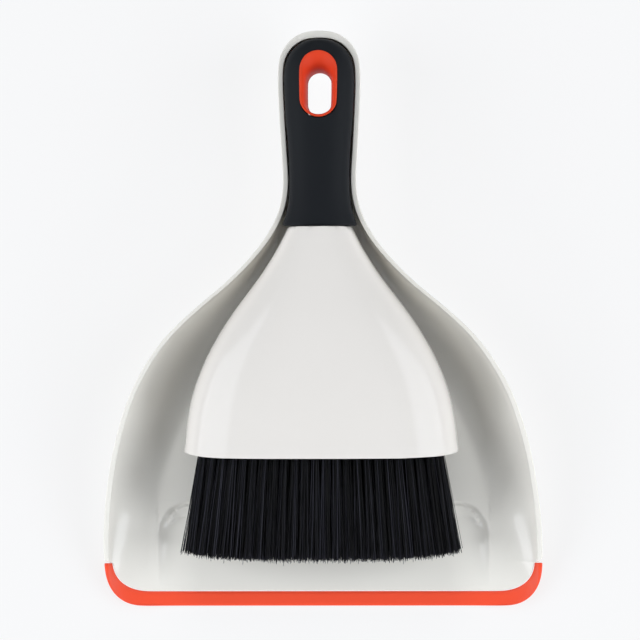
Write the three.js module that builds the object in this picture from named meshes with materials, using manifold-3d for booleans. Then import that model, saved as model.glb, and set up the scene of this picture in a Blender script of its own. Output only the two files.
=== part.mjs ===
// Dust pan with a hand brush that nests in it. Millimetres, +Z up, the set lying flat on the floor.
// +Y runs from the lip to the end of the handle, +X is to the right, and X = 0 is the plane of symmetry.
// Along the set, places are given as s, the distance behind the front edge of the lip.
import * as THREE from "three";
import { mergeVertices } from "three/addons/utils/BufferGeometryUtils.js";
import Module from "manifold-3d";

const wasm = await Module();
wasm.setup();

// ---------------------------------------------------------------- driving dimensions
const LENGTH = 330.2;
const GAP = 0.3; // running and parting gap between neighbouring solids
const FLOOR_WALL = 2.6; // wall of the pan, measured on its floor
const SIDE_WALL = 1.8; // wall of the pan at its sides
const LEAST_WALL_REACH = 2; // a side wall leans out at least this far
const CUT_PAST = 3; // how far a cutting solid runs past what it cuts

// Half width of the pan's rim, from the end of the lip to the start of the round handle end.
const PAN_OUTLINE = [
  [26, 126.4], [40, 126.2], [62, 124.4], [90, 119.8], [117, 112], [138, 101.9], [156, 89],
  [172, 72.2], [186, 55], [200, 41], [213, 30.6], [226, 23.8], [236, 21.3], [245, 20.7],
  [260, 21.7], [280, 22.8], [304, 24],
];
const PAN_END = { centre: 304, halfWidth: 24, depth: 26.2, power: 2.3 };
const CORNER = { centreX: 104, centreS: 26, halfWidth: 22.4, depth: 26, power: 2.35 };
const LIP_INNER = { centreX: 100.3, centreS: 26, halfWidth: 21.4, depth: 17.4, power: 2.25 };
// The pan's own edge behind the lip, a gap back from the lip's inner edge.
const LIP_SEAT = {
  ...LIP_INNER, halfWidth: LIP_INNER.halfWidth - GAP, depth: LIP_INNER.depth - GAP,
};

// Heights along the middle of the pan, and half width of its floor between the two side walls.
const PAN_FLOOR = [
  [0, 1.5], [8.6, 2.6], [35, 6.8], [61, 11], [100, 12], [150, 13], [185, 17], [201, 22.5],
  [213, 27], [224, 28.5], [330, 28.5],
];
const FLOOR_HALF_WIDTH = [
  [0, 96], [30, 98], [61, 96], [78, 92.5], [104, 82], [130, 69], [150, 55], [165, 41], [180, 27],
  [200, 15], [225, 14], [245, 14], [304, 17.3],
];
// Roundness of the side walls: low is an open bowl, high is the square channel of the handle.
const WALL_POWER = [
  [0, 1.4], [60, 1.4], [110, 1.35], [170, 1.35], [195, 1.7], [212, 2.6], [228, 4], [330, 4],
];
const RIM = {
  height: 48, drop: 44, fade: 82, flange: 3.1, endFlange: 4.3, flangeFrom: 4, edge: 2.6,
  round: 0.6, chamfer: 0.18,
};
const LIP_SWELL = 3; // width over which the lip rises to the rim's rounded top

const WELL = { halfWidth: 96, back: 61, radius: 20, wall: 15, top: 2.6 };
const HEEL = { s: 172, halfWidth: 30, halfThick: 4 };
const REST_RIBS = { places: [236, 262], halfWidth: 9, thick: 3, top: 30.3 };

// Brush: grip, hood, core and tufts.
const GRIP_OUTLINE = [
  [219, 21.6], [222, 20.6], [226, 19.2], [232, 17.7], [245, 17.1], [262, 17.7], [270, 18.3],
  [278, 19.2], [303, 20.3],
];
const GRIP_END = { centre: 303, halfWidth: 20.3, depth: 22.3, power: 2.3 };
const GRIP_TOP = [[219, 58.6], [245, 58.2], [300, 59.4], [325, 58.6]];
const GRIP = {
  start: 219, middle: 46.5, bottom: 30.8, topPower: 2.3, bottomPower: 2.4, startRound: 0.97,
  endRound: 0.3,
};

const HOOD_OUTLINE = [
  [90, 78.9], [117.9, 75.1], [136, 69.4], [154, 60.6], [172.3, 48.6], [190.4, 34.6],
  [208, 23.5], [218.7, 18.2],
];
const HOOD_CROWN = [[88, 61], [120, 64.2], [160, 64.6], [190, 62.6], [218.7, 59.8]];
const HOOD_EDGE = [[88, 30], [140, 31], [170, 33], [190, 36], [218.7, 38]];
const HOOD = { front: 90.4, back: 218.7, bow: 3.2, bowPower: 8, bowFade: 110, wall: 2, power: 3 };

const CORE_OUTLINE = [
  [94, 72.4], [106, 71.4], [112, 69.8], [119, 52], [132, 30], [152, 20], [185, 14], [212, 11.5],
  [316, 11],
];
const CORE_TOP = [[94, 46.5], [112, 47], [135, 49], [212, 51], [316, 52]];
const CORE_BOTTOM = [[94, 21.5], [112, 22], [135, 32], [212, 38], [316, 38]];
const CORE_END = 316;
const CORE_CHAMFER = 4;

const EYELET = { slotS: 294.1, slotHalfWidth: 6.8, slotHalfLength: 12.4, wall: 1.5 };
const EYELET_MOUTH = { s: 299.6, halfWidth: 11.1, halfLength: 19.2 };
const PAN_SLOT = { halfWidth: 8.2, halfLength: 14 };

const TUFTS = {
  perRow: 24, rowHeights: [27, 34, 41], rowSpread: 1.22, tipDroop: 1, faceS: 94, holeDepth: 12,
  facePitch: 5.82, tipS: 28.6, tipPitch: 6.56, footRadius: 2.1, tipRadius: 3.12,
  middleFootRadius: 1.9, middleTipRadius: 4.15, holeRadius: 2.6, shortEnds: 4, sides: 6,
};

// ---------------------------------------------------------------- materials
const plastic = (colour, roughness) =>
  new THREE.MeshStandardMaterial({ color: colour, roughness, metalness: 0 });
const MATERIALS = {
  pan: plastic("#e6e6e4", 0.35),
  lip: plastic("#ef5535", 0.55),
  hood: plastic("#e5e5e4", 0.25),
  core: plastic("#2b2d2f", 0.5),
  grip: plastic("#2c2f32", 0.65),
  eyelet: plastic("#e1462a", 0.45),
  bristle: plastic("#0e0d0d", 0.5),
};

// ---------------------------------------------------------------- curves
// A smooth value along s through the given stations, level before the first and after the last.
function track(stations) {
  const last = stations.length - 1;
  const slopes = stations.map((station, i) => {
    const before = stations[Math.max(i - 1, 0)];
    const after = stations[Math.min(i + 1, last)];
    return (after[1] - before[1]) / (after[0] - before[0]);
  });
  return (s) => {
    if (s <= stations[0][0]) return stations[0][1];
    if (s >= stations[last][0]) return stations[last][1];
    const i = stations.findIndex((station) => station[0] > s) - 1;
    const span = stations[i + 1][0] - stations[i][0];
    const t = (s - stations[i][0]) / span;
    const rise = t * t * (3 - 2 * t);
    const lead = t * (1 - t) * (1 - t) * slopes[i] * span;
    const trail = t * t * (t - 1) * slopes[i + 1] * span;
    return stations[i][1] * (1 - rise) + stations[i + 1][1] * rise + lead + trail;
  };
}

// The other leg of a superellipse quarter: 1 at 0, 0 at 1.
const quarter = (fraction, power) =>
  Math.pow(Math.max(1 - Math.pow(fraction, power), 0), 1 / power);

const steps = (from, to, count) =>
  Array.from({ length: count + 1 }, (_, i) => from + ((to - from) * i) / count);

const panOutline = track(PAN_OUTLINE);
const panFloor = track(PAN_FLOOR);
const floorHalfWidth = track(FLOOR_HALF_WIDTH);
const wallPower = track(WALL_POWER);
const rimHeight = (s) => RIM.height - RIM.drop * Math.exp(-s / RIM.fade);

// Half width of a round front corner at s.
const cornerHalfWidth = (corner, s) =>
  corner.centreX + corner.halfWidth * quarter((corner.centreS - s) / corner.depth, corner.power);

const panHalfWidth = (s) =>
  s < CORNER.centreS ? cornerHalfWidth(CORNER, Math.max(s, 0)) : panOutline(s);

// ---------------------------------------------------------------- solids
// A closed solid from rings of points. Flat ends are filled, and ends that fold shut are left alone.
function skin(rings, capFirst, capLast) {
  const count = rings[0].length;
  const triangles = [];
  for (let i = 0; i + 1 < rings.length; i++) {
    for (let j = 0; j < count; j++) {
      const a = i * count + j;
      const b = i * count + ((j + 1) % count);
      triangles.push([a, b, b + count], [a, b + count, a + count]);
    }
  }
  if (capFirst) triangles.push(...endCap(rings[0], 0, -1));
  if (capLast) triangles.push(...endCap(rings.at(-1), (rings.length - 1) * count, 1));
  return closedSolid(rings.flat(), triangles);
}

// Fills a ring that lies across Y; turn is 1 to wind with the ring, -1 to wind against it.
function endCap(ring, offset, turn) {
  const outline = ring.map((p) => new THREE.Vector2(p.x, p.z));
  const wanted = Math.sign(THREE.ShapeUtils.area(outline)) * turn;
  return THREE.ShapeUtils.triangulateShape(outline, []).map((face) => {
    const area = THREE.ShapeUtils.area(face.map((k) => outline[k]));
    const [a, b, c] = face.map((k) => k + offset);
    return Math.sign(area) === wanted ? [a, b, c] : [a, c, b];
  });
}

// Merges shared points, drops triangles that have folded to nothing, and turns the faces outwards.
function closedSolid(points, triangles) {
  const loose = new THREE.BufferGeometry().setFromPoints(points);
  loose.setIndex(triangles.flat());
  const merged = mergeVertices(loose, 1e-3);
  const index = merged.index.array;
  const kept = [];
  for (let i = 0; i < index.length; i += 3) {
    const [a, b, c] = index.slice(i, i + 3);
    if (a !== b && b !== c && c !== a) kept.push(a, b, c);
  }
  const vertProperties = new Float32Array(merged.attributes.position.array);
  const build = (faces) =>
    new wasm.Manifold(new wasm.Mesh({ numProp: 3, vertProperties, triVerts: new Uint32Array(faces) }));
  const solid = build(kept);
  return solid.volume() > 0 ? solid : build(kept.reverse());
}

// A three.js geometry as a solid, moved into place first.
function solidOf(geometry, matrix) {
  const bare = geometry.index ? geometry.toNonIndexed() : geometry.clone();
  bare.deleteAttribute("normal");
  bare.deleteAttribute("uv");
  if (matrix) bare.applyMatrix4(matrix);
  const merged = mergeVertices(bare, 1e-4);
  return new wasm.Manifold(
    new wasm.Mesh({
      numProp: 3,
      vertProperties: merged.attributes.position.array,
      triVerts: new Uint32Array(merged.index.array),
    }),
  );
}

function meshOf(solid, name, material) {
  const made = solid.getMesh();
  const geometry = new THREE.BufferGeometry();
  geometry.setAttribute("position", new THREE.BufferAttribute(made.vertProperties, 3));
  geometry.setIndex(new THREE.BufferAttribute(made.triVerts, 1));
  geometry.computeVertexNormals();
  const mesh = new THREE.Mesh(geometry, material);
  mesh.name = name;
  return mesh;
}

const at = (x, s, z) => new THREE.Vector3(x, s, z);

// ---------------------------------------------------------------- pan surface
// Sizes of the pan's section at s, for a section that reaches from the middle to the rim edge.
function panSizes(s, reach, flange) {
  const top = rimHeight(s) - RIM.round;
  const inner = reach - flange;
  const floorEdge = Math.min(floorHalfWidth(s), inner - LEAST_WALL_REACH);
  const power = wallPower(s);
  return { s, top, inner, floorEdge, power, floor: panFloor(s), wall: inner - floorEdge };
}

const flangeAt = (s) => RIM.flange * THREE.MathUtils.smoothstep(s, RIM.flangeFrom, CORNER.centreS);

// How far the floor is sunk inside the front well.
function wellDrop(x, s) {
  const outX = Math.abs(x) - (WELL.halfWidth - WELL.radius);
  const outS = s - (WELL.back - WELL.radius);
  const beyond = Math.hypot(Math.max(outX, 0), Math.max(outS, 0));
  const inside = WELL.radius - beyond - Math.min(Math.max(outX, outS), 0);
  const share = 1 - THREE.MathUtils.clamp(inside / WELL.wall, 0, 1);
  return Math.max(panFloor(s) - WELL.top, 0) * (1 - share * share);
}

// Height of the pan's skin at a distance from the middle: thick is 0 inside, the wall's offset outside.
function skinHeight(sizes, distance, thick) {
  if (distance <= sizes.floorEdge) return sizes.floor - thick - wellDrop(distance, sizes.s);
  const share = Math.min((distance - sizes.floorEdge) / (sizes.wall + thick), 1);
  return sizes.top - (sizes.top - sizes.floor + thick) * quarter(share, sizes.power);
}

const WALL_STEPS = 7;
const FLOOR_SHARES = [0.97, 0.94, 0.9, 0.85, 0.78, 0.6, 0.4, 0.2, 0];

// Distances from the middle at which the side wall is sampled, from its top to the floor.
function wallDistances(sizes, edge, thick) {
  const wall = sizes.wall + thick;
  const share = Math.min((edge - sizes.floorEdge) / wall, 1);
  const start = Math.acos(Math.pow(share, sizes.power / 2));
  return steps(start, Math.PI / 2, WALL_STEPS).map((angle) => {
    const cosine = Math.max(Math.cos(angle), 0);
    return sizes.floorEdge + wall * Math.pow(cosine, 2 / sizes.power);
  });
}

// One half of a pan section as [distance, height] pairs: the inside from the edge to the middle, and
// the outside from the middle to the edge. Before the lip ends, the section stops at the lip's edge.
function panHalfSection(s, reach, flange) {
  const sizes = panSizes(s, reach, flange);
  const cut = s < CORNER.centreS + GAP / 2;
  const edge = cut ? cornerHalfWidth(LIP_SEAT, s) : sizes.inner;
  const thick = cut ? FLOOR_WALL : SIDE_WALL;
  const outerEdge = cut ? edge : sizes.inner + thick;
  const floorLine = FLOOR_SHARES.map((share) => share * sizes.floorEdge);
  const rimTop = sizes.top + RIM.round;
  const inside = [...wallDistances(sizes, edge, 0), ...floorLine].map((d) => [
    d, skinHeight(sizes, d, 0),
  ]);
  const outsideWall = wallDistances(sizes, outerEdge, thick).map((d) => [
    d, Math.min(skinHeight(sizes, d, thick), rimTop - RIM.edge - RIM.chamfer),
  ]);
  const outsideFloor = floorLine.map((d) => [d, skinHeight(sizes, d, FLOOR_WALL)]);
  const outside = [...outsideWall, ...outsideFloor].reverse();
  const flangeLine = [
    [reach, rimTop - RIM.edge], [reach, rimTop - RIM.round],
    [reach - RIM.chamfer, rimTop - RIM.chamfer], [reach - RIM.round, rimTop],
    [sizes.inner + RIM.round - RIM.chamfer, rimTop],
    [sizes.inner + RIM.chamfer / 2, rimTop - RIM.chamfer],
  ];
  const cutLine = steps(0.15, 0.9, 5).map((share) => [
    edge, THREE.MathUtils.lerp(outside.at(-1)[1], inside[0][1], share),
  ]);
  return { inside: [...(cut ? cutLine : flangeLine), ...inside], outside };
}

// A point of a round front corner, from its front end at angle 0 to its side end.
function cornerPoint(corner, angle) {
  const cosine = Math.max(Math.cos(angle), 0);
  return [
    corner.centreX + corner.halfWidth * Math.pow(Math.sin(angle), 2 / corner.power),
    corner.centreS - corner.depth * Math.pow(cosine, 2 / corner.power),
  ];
}

// A whole pan section as a ring. The rim point and the middle point set the line it lies on.
function panRing(rimX, rimS, middleS, flange) {
  const reach = Math.hypot(rimX, rimS - middleS);
  const { inside, outside } = panHalfSection(rimS, reach, flange);
  const place = (side) => ([distance, height]) =>
    at((side * rimX * distance) / reach, middleS + ((rimS - middleS) * distance) / reach, height);
  return [
    ...inside.map(place(-1)),
    ...inside.slice(0, -1).reverse().map(place(1)),
    ...[...outside].reverse().map(place(1)),
    ...outside.slice(1).map(place(-1)),
  ];
}

// ---------------------------------------------------------------- pan
const PAN_ROWS = [
  ...steps(0, Math.PI / 2, 7).map((angle) => cornerPoint(LIP_SEAT, angle)[1]),
  CORNER.centreS + GAP,
  ...steps(31, 46, 3),
  ...steps(49.5, 63, 5),
  ...steps(69, 219, 17),
  ...steps(228, 298, 7),
];

// Where the round handle end's section lines start on the middle line.
const END_MIDDLE = { from: 298, to: 310 };

function stadium(halfWidth, halfLength, centreS) {
  const shape = new THREE.Shape();
  const straight = halfLength - halfWidth;
  shape.absarc(0, centreS + straight, halfWidth, 0, Math.PI, false);
  shape.absarc(0, centreS - straight, halfWidth, Math.PI, 2 * Math.PI, false);
  return shape;
}

// A flat outline as an upright solid, turned and moved in plan by the matrix if one is given.
function upright(shape, bottom, top, curveSegments, matrix = new THREE.Matrix4()) {
  const geometry = new THREE.ExtrudeGeometry(shape, {
    depth: top - bottom, bevelEnabled: false, curveSegments,
  });
  geometry.translate(0, 0, bottom);
  return solidOf(geometry, matrix);
}

function block(halfWidth, thick, s, bottom, top) {
  const geometry = new THREE.BoxGeometry(2 * halfWidth, thick, top - bottom);
  return solidOf(geometry, new THREE.Matrix4().makeTranslation(0, s, (top + bottom) / 2));
}

// Bowl and channel handle in one moulding, with the heel it stands on, the two ribs that carry the
// grip, and the hanging slot.
function panBody() {
  const rings = PAN_ROWS.map((s) => panRing(panHalfWidth(s), s, s, flangeAt(s)));
  for (const turn of steps(0, 1, 7).slice(1)) {
    const angle = (turn * Math.PI) / 2;
    const x = PAN_END.halfWidth * Math.pow(Math.max(Math.cos(angle), 0), 2 / PAN_END.power);
    const s = PAN_END.centre + PAN_END.depth * Math.pow(Math.sin(angle), 2 / PAN_END.power);
    const middle = THREE.MathUtils.lerp(END_MIDDLE.from, END_MIDDLE.to, turn);
    const flange = THREE.MathUtils.lerp(RIM.flange, RIM.endFlange, turn);
    rings.push(panRing(turn === 1 ? 0 : x, s, middle, flange));
  }
  let pan = skin(rings, true, false);
  const floorAtHeel = panFloor(HEEL.s) - FLOOR_WALL / 2;
  const heel = stadium(HEEL.halfThick, HEEL.halfWidth, 0);
  const across = new THREE.Matrix4().makeRotationZ(Math.PI / 2).setPosition(0, HEEL.s, 0);
  pan = pan.add(upright(heel, 0, floorAtHeel, 6, across));
  for (const s of REST_RIBS.places) {
    const bottom = panFloor(s) - FLOOR_WALL / 2;
    pan = pan.add(block(REST_RIBS.halfWidth, REST_RIBS.thick, s, bottom, REST_RIBS.top));
  }
  const slot = stadium(PAN_SLOT.halfWidth, PAN_SLOT.halfLength, EYELET.slotS);
  return pan.subtract(upright(slot, 0, EYELET.slotS, 10));
}

// Height of the lip's top, which carries on the pan's inside and its rim.
function lipHeight(x, s) {
  const sizes = panSizes(s, panHalfWidth(s), flangeAt(s));
  const distance = Math.abs(x);
  const swell = RIM.round * THREE.MathUtils.smoothstep(
    distance, sizes.inner - LIP_SWELL, sizes.inner,
  );
  return skinHeight(sizes, Math.min(distance, sizes.inner), 0) + swell;
}

// Points along one edge of the lip, from its left end round the front to its right end.
function lipEdge(corner) {
  const round = steps(0, Math.PI / 2, 9).map((angle) => cornerPoint(corner, angle));
  const front = round[0][1];
  const straight = steps(0, corner.centreX, 8).slice(0, -1).map((x) => [x, front]);
  const right = [...straight, ...round].map(([x, s]) => [x, Math.min(s, CORNER.centreS - GAP)]);
  return [...right.slice(1).reverse().map(([x, s]) => [-x, s]), ...right];
}

const LIP_SHARES = [0, 0.08, 0.25, 0.6, 1];
const LIP_NOSE = [0.8, 0.15, 0, 0, 0];

// Soft strip moulded over the pan's front edge and round both corners.
function panLip() {
  const outer = lipEdge(CORNER);
  const inner = lipEdge(LIP_INNER);
  const rings = outer.map(([outerX, outerS], i) => {
    const lines = LIP_SHARES.map((share, k) => {
      const x = THREE.MathUtils.lerp(outerX, inner[i][0], share);
      const s = THREE.MathUtils.lerp(outerS, inner[i][1], share);
      const top = lipHeight(x, s);
      const bottom = Math.max(top - FLOOR_WALL, 0);
      return [at(x, s, top - LIP_NOSE[k]), at(x, s, bottom + LIP_NOSE[k] / 2)];
    });
    return [...lines.map((line) => line[0]), ...lines.map((line) => line[1]).reverse()];
  });
  return skin(rings, true, true);
}

// ---------------------------------------------------------------- brush handle
const gripOutline = track(GRIP_OUTLINE);
const gripTop = track(GRIP_TOP);
const SECTION_SIDES = 24;

const signedPower = (value, power) => Math.sign(value) * Math.pow(Math.abs(value), power);

// A grip section: a domed upper half over a rounder lower half.
function gripRing(s, halfWidth, share) {
  const up = (gripTop(s) - GRIP.middle) * share;
  const down = (GRIP.middle - GRIP.bottom) * share;
  return steps(0, 2 * Math.PI, SECTION_SIDES).slice(0, -1).map((angle) => {
    const sine = Math.sin(angle);
    const power = 2 / (sine > 0 ? GRIP.topPower : GRIP.bottomPower);
    const height = signedPower(sine, power) * (sine > 0 ? up : down);
    return at(halfWidth * signedPower(Math.cos(angle), power), s, GRIP.middle + height);
  });
}

function gripSolid() {
  const rings = [gripRing(GRIP.start, gripOutline(GRIP.start) * GRIP.startRound, GRIP.startRound)];
  const rows = [219.8, 222, 226, 232, 240, 250, 260, 266, 272, 278, 286, 295, 303];
  for (const s of rows) rings.push(gripRing(s, gripOutline(s), 1));
  for (const turn of steps(0, 1, 7).slice(1)) {
    const angle = (turn * Math.PI) / 2;
    const cosine = turn === 1 ? 0 : Math.cos(angle);
    const halfWidth = GRIP_END.halfWidth * Math.pow(cosine, 2 / GRIP_END.power);
    const s = GRIP_END.centre + GRIP_END.depth * Math.pow(Math.sin(angle), 2 / GRIP_END.power);
    rings.push(gripRing(s, halfWidth, Math.pow(cosine, GRIP.endRound)));
  }
  return skin(rings, true, false);
}

// The hanging eyelet's outline at a height: the slot low down, flaring to the scooped mouth at the top.
const EYELET_LEVELS = [[30.4, 0], [36, 0], [46, 0.04], [51, 0.16], [55, 0.4], [57.6, 0.72], [59.4, 1]];

function eyeletRings(spread, levels) {
  return levels.map(([height, flare]) => {
    const lerp = THREE.MathUtils.lerp;
    const halfWidth = lerp(EYELET.slotHalfWidth, EYELET_MOUTH.halfWidth - EYELET.wall, flare) + spread;
    const halfLength = lerp(EYELET.slotHalfLength, EYELET_MOUTH.halfLength - EYELET.wall, flare) + spread;
    const s = lerp(EYELET.slotS, EYELET_MOUTH.s, flare);
    const points = stadium(halfWidth, halfLength, s).getPoints(7).slice(0, -1);
    return points.map((p) => at(p.x, p.y, height));
  });
}

// Rings stacked up Z, filled with a fan at each end.
function stack(rings) {
  const middle = (ring) =>
    ring.reduce((sum, p) => sum.add(p), new THREE.Vector3()).divideScalar(ring.length);
  const pole = (ring) => ring.map(() => middle(ring));
  return skin([pole(rings[0]), ...rings, pole(rings.at(-1))], false, false);
}

const stretched = (levels, below, above) => [
  [levels[0][0] - below, levels[0][1]], ...levels, [levels.at(-1)[0] + above, levels.at(-1)[1]],
];

// Liner of the hanging hole: a tube with a wide scooped mouth, its top following the grip.
const eyeletOuter = (spread, below, above) =>
  stack(eyeletRings(EYELET.wall + spread, stretched(EYELET_LEVELS, below, above)));

function eyelet() {
  const bore = stack(eyeletRings(0, stretched(EYELET_LEVELS, CUT_PAST, CUT_PAST)));
  return eyeletOuter(0, 0, 0).subtract(bore);
}

// ---------------------------------------------------------------- brush head
const hoodOutline = track(HOOD_OUTLINE);
const hoodCrown = track(HOOD_CROWN);
const hoodEdge = track(HOOD_EDGE);

// The hood's front edge bows forward, nearly straight across with round ends.
const hoodBow = (x, s) => {
  const share = Math.abs(x) / HOOD_OUTLINE[0][1];
  const fade = THREE.MathUtils.clamp((HOOD.bowFade - s) / (HOOD.bowFade - HOOD.front), 0, 1);
  return s - HOOD.bow * (1 - Math.pow(share, HOOD.bowPower)) * fade;
};

function hoodArch(s, wall) {
  const halfWidth = hoodOutline(s) - wall;
  const edge = hoodEdge(s);
  const rise = hoodCrown(s) - wall - edge;
  return steps(0, Math.PI, 22).map((angle) => {
    const x = halfWidth * signedPower(Math.cos(angle), 2 / HOOD.power);
    const height = edge + rise * Math.pow(Math.max(Math.sin(angle), 0), 2 / HOOD.power);
    return at(x, hoodBow(x, s), height);
  });
}

// Hollow cover over the tuft block, open below, at the front and at the neck.
function hood() {
  const rows = [...steps(HOOD.front, HOOD.bowFade, 4), ...steps(116, HOOD.back, 12)];
  const rings = rows.map((s) => [...hoodArch(s, 0), ...hoodArch(s, HOOD.wall).reverse()]);
  return skin(rings, true, true);
}

const coreOutline = track(CORE_OUTLINE);
const coreTop = track(CORE_TOP);
const coreBottom = track(CORE_BOTTOM);
const CORE_ROWS = [94, 106, 112, 115, 119, 125, 132, 142, 152, 168, 185, 200, 212, 264, 316];

function coreSolid(spread, rows) {
  const rings = rows.map((s) => {
    const halfWidth = coreOutline(s) + spread;
    const top = coreTop(s) + spread;
    const bottom = coreBottom(s) - spread;
    const right = [
      [halfWidth - CORE_CHAMFER, bottom], [halfWidth, bottom + CORE_CHAMFER],
      [halfWidth, top - CORE_CHAMFER], [halfWidth - CORE_CHAMFER, top],
    ];
    const left = right.map(([x, z]) => [-x, z]).reverse();
    return [...right, ...left].map(([x, z]) => at(x, s, z));
  });
  return skin(rings, true, true);
}

// A tuft's foot and tip. Rows spread a little apart towards their tips, and so do the tufts in a row.
function tuftLine(row, column, columns) {
  const offset = column - (columns - 1) / 2;
  const share = (2 * offset) / (TUFTS.perRow - 1);
  const middleRow = TUFTS.rowHeights[1];
  const height = TUFTS.rowHeights[row];
  const tipHeight = middleRow - TUFTS.tipDroop + (height - middleRow) * TUFTS.rowSpread;
  const tip = at(offset * TUFTS.tipPitch, TUFTS.tipS + TUFTS.shortEnds * Math.pow(share, 4), tipHeight);
  const face = at(offset * TUFTS.facePitch, TUFTS.faceS, height);
  const along = face.clone().sub(tip).normalize();
  return { tip, face, along, foot: face.clone().addScaledVector(along, TUFTS.holeDepth - GAP) };
}

// A round bar from one point to another, with its own radius at each end.
function bar(from, to, fromRadius, toRadius) {
  const along = to.clone().sub(from);
  const geometry = new THREE.CylinderGeometry(toRadius, fromRadius, along.length(), TUFTS.sides);
  const turn = new THREE.Quaternion().setFromUnitVectors(at(0, 1, 0), along.clone().normalize());
  const middle = from.clone().add(to).multiplyScalar(0.5);
  return solidOf(geometry, new THREE.Matrix4().compose(middle, turn, at(1, 1, 1)));
}

// Rows from the floor side up. The middle row stands in the gaps of the other two, one tuft short.
const tuftRows = [
  { name: "tuft_under", row: 0, columns: TUFTS.perRow },
  { name: "tuft_middle", row: 1, columns: TUFTS.perRow - 1 },
  { name: "tuft_top", row: 2, columns: TUFTS.perRow },
];

const tuftLines = ({ row, columns }) =>
  Array.from({ length: columns }, (_, column) => tuftLine(row, column, columns));

// Drilled tuft block and tang in one moulding, with the hanging hole through the tang.
function core(hangingHole) {
  let solid = coreSolid(0, CORE_ROWS);
  for (const lines of tuftRows.map(tuftLines)) {
    for (const { face, along } of lines) {
      const mouth = face.clone().addScaledVector(along, -CUT_PAST);
      const end = face.clone().addScaledVector(along, TUFTS.holeDepth);
      solid = solid.subtract(bar(end, mouth, TUFTS.holeRadius, TUFTS.holeRadius));
    }
  }
  return solid.subtract(hangingHole);
}

// ---------------------------------------------------------------- assembly
const set = new THREE.Group();
const pan = new THREE.Group();
const brush = new THREE.Group();
set.add(pan, brush);
// s runs from the lip, and the part's origin is under the middle of its length.
set.position.set(0, -LENGTH / 2, 0);

pan.add(meshOf(panBody(), "pan_body", MATERIALS.pan));
pan.add(meshOf(panLip(), "pan_lip", MATERIALS.lip));

const hangingHole = eyeletOuter(GAP, CUT_PAST, CUT_PAST);
const tangSeat = coreSolid(GAP, [GRIP.start - 2, 264, CORE_END + GAP]);
brush.add(meshOf(gripSolid().subtract(hangingHole).subtract(tangSeat), "brush_grip", MATERIALS.grip));
brush.add(meshOf(eyelet(), "brush_eyelet", MATERIALS.eyelet));
brush.add(meshOf(core(hangingHole), "brush_core", MATERIALS.core));
brush.add(meshOf(hood(), "brush_hood", MATERIALS.hood));

for (const tuftRow of tuftRows) {
  const lines = tuftLines(tuftRow);
  const middle = tuftRow.row === 1;
  const footRadius = middle ? TUFTS.middleFootRadius : TUFTS.footRadius;
  const tipRadius = middle ? TUFTS.middleTipRadius : TUFTS.tipRadius;
  const solids = lines.map(({ foot, tip }) => bar(foot, tip, footRadius, tipRadius));
  if (middle) {
    // The middle row's tufts splay into each other at their tips, so they are one solid.
    const joined = solids.reduce((sum, solid) => sum.add(solid));
    brush.add(meshOf(joined, tuftRow.name + "_row", MATERIALS.bristle));
  } else {
    solids.forEach((solid, i) => {
      const name = tuftRow.name + "_" + String(i + 1).padStart(2, "0");
      brush.add(meshOf(solid, name, MATERIALS.bristle));
    });
  }
}

export default set;
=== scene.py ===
"""Looks of a dust pan with a hand brush nested in it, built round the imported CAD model.

Metres, +Z up, +Y from the lip to the end of the handle. The pan body is white polypropylene, and the
brush that lifts out of it has a glossy hood, a rubber grip and tufts of black filament.
"""

import math
import random

import bmesh
import bpy
import numpy as np
from mathutils import Matrix, Vector


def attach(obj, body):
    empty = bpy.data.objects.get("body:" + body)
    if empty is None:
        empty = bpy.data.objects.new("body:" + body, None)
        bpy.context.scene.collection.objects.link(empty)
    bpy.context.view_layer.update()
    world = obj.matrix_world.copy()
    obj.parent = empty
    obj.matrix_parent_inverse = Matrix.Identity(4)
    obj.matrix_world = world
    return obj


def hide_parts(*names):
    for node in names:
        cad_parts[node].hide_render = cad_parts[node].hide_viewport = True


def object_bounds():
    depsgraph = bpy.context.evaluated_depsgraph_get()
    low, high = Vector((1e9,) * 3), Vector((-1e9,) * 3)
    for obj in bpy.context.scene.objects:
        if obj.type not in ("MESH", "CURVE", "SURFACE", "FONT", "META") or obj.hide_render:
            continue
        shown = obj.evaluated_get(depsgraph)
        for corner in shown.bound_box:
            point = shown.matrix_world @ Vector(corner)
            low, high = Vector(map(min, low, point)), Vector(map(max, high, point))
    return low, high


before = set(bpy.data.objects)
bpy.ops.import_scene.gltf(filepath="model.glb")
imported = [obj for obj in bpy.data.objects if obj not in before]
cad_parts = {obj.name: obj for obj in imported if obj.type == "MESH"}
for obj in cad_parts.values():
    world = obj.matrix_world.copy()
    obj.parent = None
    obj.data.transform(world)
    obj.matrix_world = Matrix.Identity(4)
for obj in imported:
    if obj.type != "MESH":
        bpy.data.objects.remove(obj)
cad_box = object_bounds()

MM = 0.001
LIP_FRONT = cad_box[0].y


# ------------------------------------------------------------------ materials
CLOUD = 45 * MM  # size of the flow clouding in a moulding


def linear(hex_colour):
    """An sRGB hex colour as the linear RGBA that the shader takes."""
    channels = [int(hex_colour[i : i + 2], 16) / 255 for i in (1, 3, 5)]
    return [c / 12.92 if c <= 0.04045 else ((c + 0.055) / 1.055) ** 2.4 for c in channels] + [1]


def add_node(tree, kind, settings=None, **links):
    """Adds a node, sets its properties and values, and links its inputs from (node, output) pairs."""
    node = tree.nodes.new(kind)
    for key, value in (settings or {}).items():
        if key in node.inputs.keys():
            node.inputs[key].default_value = value
        else:
            setattr(node, key, value)
    for key, (source, output) in links.items():
        tree.links.new(source.outputs[output], node.inputs[key.replace("_", " ")])
    return node


def start_material(name):
    """An empty material: returns it with its node tree, its shader and its object coordinates."""
    material = bpy.data.materials.new(name)
    material.use_nodes = True
    tree = material.node_tree
    tree.nodes.clear()
    shader = add_node(tree, "ShaderNodeBsdfPrincipled")
    add_node(tree, "ShaderNodeOutputMaterial", Surface=(shader, "BSDF"))
    place = add_node(tree, "ShaderNodeTexCoord")
    return material, tree, shader, place


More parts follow.
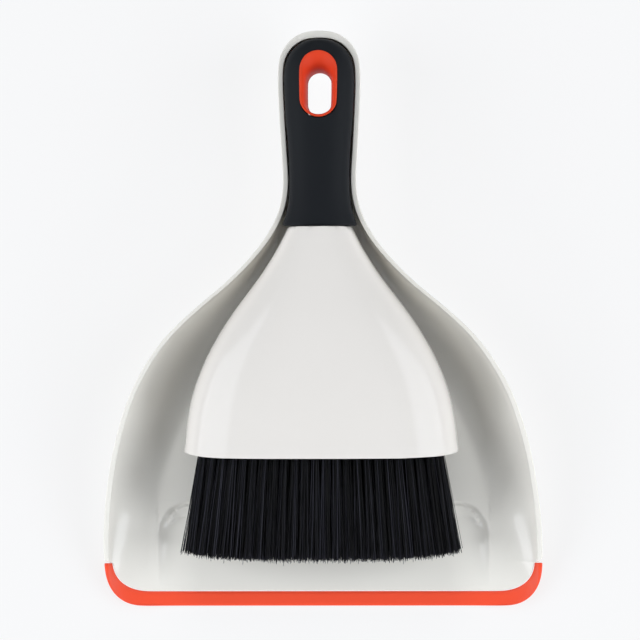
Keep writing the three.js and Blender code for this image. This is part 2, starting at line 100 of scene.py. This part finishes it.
def moulded_plastic(name, colours, gloss, grain_mm, relief_mm, shine):
    """Injection-moulded plastic: one colour with faint flow clouding, and the fine even relief that a
    mould surface leaves, which breaks up the edges of reflections. Colours are those of the clear and
    the clouded parts, and gloss gives the lowest and the highest roughness."""
    material, tree, shader, place = start_material(name)
    cloud = add_node(
        tree, "ShaderNodeTexNoise", {"Scale": 1 / CLOUD, "Detail": 2.0}, Vector=(place, "Object")
    )
    tone = add_node(tree, "ShaderNodeMix", {"data_type": "RGBA"}, Factor=(cloud, "Fac"))
    tone.inputs[6].default_value = linear(colours[0])
    tone.inputs[7].default_value = linear(colours[1])
    tree.links.new(tone.outputs[2], shader.inputs["Base Color"])
    grain = add_node(
        tree, "ShaderNodeTexNoise", {"Scale": 1 / (grain_mm * MM), "Detail": 3.0},
        Vector=(place, "Object"),
    )
    rough = add_node(
        tree, "ShaderNodeMapRange", {"To Min": gloss[0], "To Max": gloss[1]}, Value=(grain, "Fac")
    )
    tree.links.new(rough.outputs["Result"], shader.inputs["Roughness"])
    relief = add_node(
        tree, "ShaderNodeBump", {"Strength": 1.0, "Distance": relief_mm * MM}, Height=(grain, "Fac")
    )
    tree.links.new(relief.outputs["Normal"], shader.inputs["Normal"])
    shader.inputs["IOR"].default_value = 1.49
    shader.inputs["Specular IOR Level"].default_value = shine
    return material


def drawn_filament():
    """Black polyester filament, drawn and crimped: nearly black, with a weak sheen along each strand.
    The odd strand is worn grey, which the tone kept on each strand says."""
    material, tree, shader, _ = start_material("polyester_filament_black_drawn")
    strand = add_node(tree, "ShaderNodeAttribute", {"attribute_name": "tone"})
    tone = add_node(tree, "ShaderNodeMix", {"data_type": "RGBA"}, Factor=(strand, "Fac"))
    tone.inputs[6].default_value = linear("#030304")
    tone.inputs[7].default_value = linear("#3d3d47")
    tree.links.new(tone.outputs[2], shader.inputs["Base Color"])
    rough = add_node(
        tree, "ShaderNodeMapRange", {"To Min": 0.34, "To Max": 0.5}, Value=(strand, "Fac")
    )
    tree.links.new(rough.outputs["Result"], shader.inputs["Roughness"])
    shader.inputs["IOR"].default_value = 1.5
    shader.inputs["Specular IOR Level"].default_value = 0.18
    return material


# Pan: warm white polypropylene with the satin gloss of a polished mould.
WHITE_PP = moulded_plastic(
    "polypropylene_white_moulded", ("#f2efe5", "#f0ece2"), (0.13, 0.16), 1.2, 0.0004, shine=0.3
)
# Hood: the same plastic from a finer mould.
HOOD_PP = moulded_plastic(
    "polypropylene_white_polished", ("#ece7df", "#eae5dd"), (0.12, 0.15), 1.5, 0.0003, shine=0.25
)
# Lip: soft rubber moulded over the pan's edge.
LIP_TPE = moulded_plastic(
    "thermoplastic_rubber_orange", ("#fb5536", "#f75132"), (0.42, 0.52), 0.8, 0.004, shine=0.3
)
# Eyelet: the lip's rubber in a deeper red.
EYELET_TPE = moulded_plastic(
    "thermoplastic_rubber_red", ("#de4526", "#da4122"), (0.5, 0.6), 0.8, 0.004, shine=0.15
)
# Grip: matt rubber moulded over the tang.
GRIP_TPE = moulded_plastic(
    "thermoplastic_rubber_charcoal", ("#1b1e21", "#191b1e"), (0.55, 0.65), 0.5, 0.006, shine=0.12
)
# Tuft block: plain black polypropylene.
CORE_PP = moulded_plastic(
    "polypropylene_black_moulded", ("#101112", "#0d0e0e"), (0.4, 0.5), 0.9, 0.004, shine=0.3
)
FILAMENT = drawn_filament()


# ------------------------------------------------------------------ modelling helpers
def deselect():
    bpy.ops.object.select_all(action="DESELECT")


def make_active(piece):
    deselect()
    piece.select_set(True)
    bpy.context.view_layer.objects.active = piece


def apply_modifier(piece, kind, **settings):
    make_active(piece)
    modifier = piece.modifiers.new(kind.title(), kind)
    for key, value in settings.items():
        setattr(modifier, key, value)
    bpy.ops.object.modifier_apply(modifier=modifier.name)


def smooth(piece, degrees):
    make_active(piece)
    bpy.ops.object.shade_smooth_by_angle(angle=math.radians(degrees))


def copy_of(node, name):
    """A CAD node's shape as a new piece, its loose triangles welded and paired into quads."""
    piece = bpy.data.objects.new(name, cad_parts[node].data.copy())
    bpy.context.scene.collection.objects.link(piece)
    make_active(piece)
    bpy.ops.object.mode_set(mode="EDIT")
    bpy.ops.mesh.select_all(action="SELECT")
    bpy.ops.mesh.remove_doubles(threshold=0.002 * MM)
    bpy.ops.mesh.tris_convert_to_quads(
        face_threshold=math.radians(40), shape_threshold=math.radians(60)
    )
    bpy.ops.object.mode_set(mode="OBJECT")
    return piece


def fit(piece, material, body, node):
    """Gives a finished piece its material and its body, and hides the CAD node that it stands for."""
    piece.data.materials.clear()
    piece.data.materials.append(material)
    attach(piece, body)
    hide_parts(node)


def points_of(piece):
    """A piece's vertices and their normals, as rows of X, Y, Z."""
    count = len(piece.data.vertices)
    points = np.empty(count * 3)
    normals = np.empty(count * 3)
    piece.data.vertices.foreach_get("co", points)
    piece.data.vertices.foreach_get("normal", normals)
    return points.reshape(-1, 3), normals.reshape(-1, 3)


def move_points(piece, points):
    piece.data.vertices.foreach_set("co", points.ravel())
    piece.data.update()


# ------------------------------------------------------------------ pan
FLOOR_S = np.array([0, 8.6, 35, 61, 75]) * MM  # distance behind the lip's front edge
FLOOR_Z = np.array([1.5, 2.6, 6.8, 11, 11.5]) * MM
LIP_BACK = 12 * MM
WELL_HALF_WIDTH = 96 * MM
WELL_BACK = 61 * MM
WELL_CORNER = 20 * MM
WELL_WALL = 15 * MM
WELL_BOTTOM = 2.6 * MM
PAN_WALL = 2.6 * MM


def well_depth(x, s):
    """How deep the well in the pan's floor is: it drops sharply at its edge and rounds out below."""
    out_x = np.abs(x) - (WELL_HALF_WIDTH - WELL_CORNER)
    out_s = s - (WELL_BACK - WELL_CORNER)
    beyond = np.hypot(np.maximum(out_x, 0), np.maximum(out_s, 0))
    inside = WELL_CORNER - beyond - np.minimum(np.maximum(out_x, out_s), 0)
    share = 1 - np.clip(inside / WELL_WALL, 0, 1)
    depth = np.maximum(np.interp(s, FLOOR_S, FLOOR_Z) - WELL_BOTTOM, 0)
    return depth * (1 - share**3)


def pan_moulding():
    """Bowl and channel handle, with the crisp upper edge that the well has in its floor."""
    piece = copy_of("pan_body", "pan_moulding")
    apply_modifier(piece, "SUBSURF", levels=2, render_levels=2)
    points, normals = points_of(piece)
    x, s, z = points[:, 0], points[:, 1] - LIP_FRONT, points[:, 2]
    floor_z = np.interp(s, FLOOR_S, FLOOR_Z) - well_depth(x, s)
    on_floor = (np.abs(x) < WELL_HALF_WIDTH) & (s < WELL_BACK + 2 * MM) & (s > LIP_BACK)
    facing_up = (normals[:, 2] > 0.3) & (np.abs(z - floor_z) < PAN_WALL / 2)
    chosen = on_floor & facing_up
    points[chosen, 2] = floor_z[chosen]
    move_points(piece, points)
    smooth(piece, 60)
    fit(piece, WHITE_PP, "pan", "pan_body")


def refined(node, name, material, body):
    """A piece with the shape of a CAD node, its facets rounded into one smooth surface."""
    piece = copy_of(node, name)
    apply_modifier(piece, "SUBSURF", levels=2, render_levels=2)
    smooth(piece, 60)
    fit(piece, material, body, node)


def tuft_block():
    """Tuft block and tang, its long edges eased as a mould leaves them."""
    piece = copy_of("brush_core", "tuft_block")
    apply_modifier(piece, "BEVEL", width=0.5 * MM, segments=2, limit_method="ANGLE",
                   angle_limit=math.radians(35))
    smooth(piece, 40)
    fit(piece, CORE_PP, "brush", "brush_core")


# ------------------------------------------------------------------ filament tufts
FILAMENTS = 100  # in one tuft
FILAMENT_RADIUS = 0.13 * MM
BENDS = 5  # rings between the two ends of a filament
ROOT_RADIUS = 1.9 * MM  # of a tuft where it leaves its hole
TIP_RADIUS = 3.7 * MM
STRAY = 0.95 * MM  # how far a filament's tip wanders from its place
CUT = 0.985  # length of a filament, as a share of its tuft's
UNEVEN = 0.015  # how much that share varies
LOOSE_SHARE = 0.02  # of filaments that have come loose from their tuft
LOOSE_STRAY = 3  # how many times as far a loose one wanders
TURN = 0.3  # how far round its tuft a filament may be from its even place, in radians
WAVE = (0.1 * MM, 0.5 * MM)  # how far a filament's waves reach
WAVES = (0.6, 1.4)  # how many waves it has
WEAR = 5  # the higher this is, the fewer filaments have worn grey
GOLDEN_ANGLE = math.pi * (3 - math.sqrt(5))


def filament():
    """One filament: a unit in radius and a unit long up Z, with rings to bend it at and a worn tip."""
    deselect()
    bpy.ops.mesh.primitive_cylinder_add(vertices=5, radius=1, depth=1, location=(0, 0, 0.5))
    bpy.ops.object.transform_apply(location=True)
    piece = bpy.context.object
    bpy.ops.object.mode_set(mode="EDIT")
    bpy.ops.mesh.select_all(action="DESELECT")
    shape = bmesh.from_edit_mesh(piece.data)
    for edge in shape.edges:
        edge.select_set(edge.verts[0].co.z != edge.verts[1].co.z)
    bmesh.update_edit_mesh(piece.data)
    bpy.ops.mesh.subdivide(number_cuts=BENDS)
    bpy.ops.mesh.select_all(action="DESELECT")
    shape = bmesh.from_edit_mesh(piece.data)
    for face in shape.faces:
        face.select_set(face.normal.z > 0.9)
    bmesh.update_edit_mesh(piece.data)
    bpy.ops.transform.resize(value=(0.6, 0.6, 1))
    bpy.ops.object.mode_set(mode="OBJECT")
    points, _ = points_of(piece)
    faces = [tuple(face.vertices) for face in piece.data.polygons]
    bpy.data.objects.remove(piece)
    return points, faces


UNIT_POINTS, UNIT_FACES = filament()


def tuft_line(node):
    """The middle of a CAD tuft's foot and of its tip."""
    points = np.unique(np.round(points_of(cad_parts[node])[0], 6), axis=0)
    middle = points[:, 1].mean()
    foot = points[points[:, 1] > middle].mean(axis=0)
    tip = points[points[:, 1] < middle].mean(axis=0)
    return foot, tip


def tuft_points(foot, tip, draw):
    """Every filament of one tuft, spreading from its foot, each a little wavy and cut a little uneven."""
    along = tip - foot
    length = np.linalg.norm(along)
    along = along / length
    across = np.cross(along, (0, 0, 1))
    across /= np.linalg.norm(across)
    up = np.cross(across, along)
    rise = UNIT_POINTS[:, 2]
    made = []
    for i in range(FILAMENTS):
        angle = i * GOLDEN_ANGLE + draw.uniform(-TURN, TURN)
        ring = math.sqrt((i + 0.5) / FILAMENTS)
        way = math.cos(angle) * across + math.sin(angle) * up
        wander = STRAY * (LOOSE_STRAY if draw.random() < LOOSE_SHARE else 1)
        stray = draw.gauss(0, wander) * across + draw.gauss(0, STRAY) * up
        spread = ring * (TIP_RADIUS - ROOT_RADIUS) * way + stray
        swing_angle = draw.uniform(0, 2 * math.pi)
        swing = math.cos(swing_angle) * across + math.sin(swing_angle) * up
        height = draw.uniform(*WAVE)
        phase = rise * draw.uniform(*WAVES) + draw.random()
        wave = height * np.sin(2 * math.pi * phase)
        reach = length * draw.gauss(CUT, UNEVEN)
        middle = (
            foot + ring * ROOT_RADIUS * way
            + np.outer(rise * reach, along) + np.outer(rise, spread) + np.outer(wave * rise, swing)
        )
        body = np.outer(UNIT_POINTS[:, 0], across) + np.outer(UNIT_POINTS[:, 1], up)
        made.append(middle + body * FILAMENT_RADIUS)
    return np.concatenate(made)


def tuft(name, lines, seed, node):
    """One piece of filaments, for one tuft or for a row of them."""
    draw = random.Random(seed)
    points = np.concatenate([tuft_points(foot, tip, draw) for foot, tip in lines])
    size = len(UNIT_POINTS)
    starts = range(0, len(points), size)
    faces = [tuple(start + corner for corner in face) for start in starts for face in UNIT_FACES]
    mesh = bpy.data.meshes.new(name)
    mesh.from_pydata(points.tolist(), [], faces)
    tones = [draw.random() ** WEAR for _ in starts]
    kept = mesh.attributes.new("tone", "FLOAT", "POINT")
    kept.data.foreach_set("value", np.repeat(tones, size))
    piece = bpy.data.objects.new(name, mesh)
    bpy.context.scene.collection.objects.link(piece)
    smooth(piece, 80)
    fit(piece, FILAMENT, "brush", node)


def tufts():
    """The two rows that the CAD gives tuft by tuft, and the middle row that stands in their gaps."""
    lines = {}
    for node in sorted(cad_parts):
        if node.startswith(("tuft_top_", "tuft_under_")):
            lines[node] = tuft_line(node)
    for seed, (node, line) in enumerate(lines.items(), start=100):
        tuft(node.replace("tuft", "filaments"), [line], seed, node)
    count = sum(node.startswith("tuft_top_") for node in lines)
    between = []
    for column in range(1, count):
        around = [
            lines[f"tuft_{row}_{number:02d}"]
            for row in ("top", "under") for number in (column, column + 1)
        ]
        between.append(tuple(np.mean([line[end] for line in around], axis=0) for end in (0, 1)))
    tuft("filaments_middle_row", between, 300, "tuft_middle_row")


# ------------------------------------------------------------------ stage
CAMERA_HEIGHT = 2.2
CAMERA_SIDE = 0.085
SUBJECT = (-0.0008, 0.0005, 0.025)
FRAME_WIDTH = 0.3667
CAMERA_ROLL = math.radians(-0.2)
DAYLIGHT = "#f4f8ff"
TABLE_SIZE = 12
TABLE_DROP = 0.5 * MM  # the table's top is this far under the pan
# Softboxes: name, place, width and length, watts. Each is turned to the middle of the table.
SOFTBOXES = [
    ("softbox_left", (-1.6, 0, 1.2), (1.3, 1.6), 24.5),
    ("softbox_right", (1.6, 0, 1.2), (1.3, 1.6), 24.5),
    ("softbox_front_left", (-1.33, -1.33, 0.68), (0.9, 0.9), 16),
    ("softbox_front_right", (1.33, -1.33, 0.68), (0.9, 0.9), 16),
    ("softbox_back", (0, 1.48, 1.34), (0.9, 0.9), 9.5),
]


def camera():
    """Looks almost straight down on the set, from a little to its right."""
    data = bpy.data.cameras.new("camera")
    data.sensor_width = 36
    data.lens = data.sensor_width * CAMERA_HEIGHT / FRAME_WIDTH
    data.clip_end = 10
    eye = bpy.data.objects.new("camera", data)
    offset = Vector((CAMERA_SIDE, 0, CAMERA_HEIGHT))
    eye.location = Vector(SUBJECT) + offset
    tilt = Matrix.Rotation(math.atan2(CAMERA_SIDE, CAMERA_HEIGHT), 3, "Y")
    eye.rotation_euler = (tilt @ Matrix.Rotation(CAMERA_ROLL, 3, "Z")).to_euler()
    bpy.context.scene.collection.objects.link(eye)
    bpy.context.scene.camera = eye


def softbox(name, place, size, watts):
    data = bpy.data.lights.new(name, "AREA")
    data.shape = "RECTANGLE"
    data.size, data.size_y = size
    data.energy = watts
    data.color = linear(DAYLIGHT)[:3]
    light = bpy.data.objects.new(name, data)
    light.location = place
    light.rotation_euler = (-Vector(place)).to_track_quat("-Z", "Y").to_euler()
    bpy.context.scene.collection.objects.link(light)


def light_table():
    """A white table that glows faintly, so that the set throws next to no shadow on it."""
    deselect()
    bpy.ops.mesh.primitive_plane_add(size=TABLE_SIZE, location=(0, 0, -TABLE_DROP))
    plane = bpy.context.object
    plane.name = "light_table"
    material, _, shader, _ = start_material("acrylic_white_opal_lit")
    shader.inputs["Base Color"].default_value = linear("#767676")
    shader.inputs["Roughness"].default_value = 0.9
    shader.inputs["Specular IOR Level"].default_value = 0.0
    shader.inputs["Emission Color"].default_value = linear("#fbfbfb")
    shader.inputs["Emission Strength"].default_value = 0.79
    plane.data.materials.append(material)


def surroundings():
    world = bpy.data.worlds.new("studio")
    world.use_nodes = True
    world.node_tree.nodes["Background"].inputs["Color"].default_value = linear("#ffffff")
    world.node_tree.nodes["Background"].inputs["Strength"].default_value = 0.03
    bpy.context.scene.world = world


camera()
pan_moulding()
refined("pan_lip", "pan_lip_strip", LIP_TPE, "pan")
refined("brush_hood", "hood_shell", HOOD_PP, "brush")
refined("brush_grip", "grip_sleeve", GRIP_TPE, "brush")
refined("brush_eyelet", "eyelet_liner", EYELET_TPE, "brush")
tuft_block()
tufts()
light_table()
surroundings()
for row in SOFTBOXES:
    softbox(*row)
bpy.context.scene.view_settings.view_transform = "Standard"
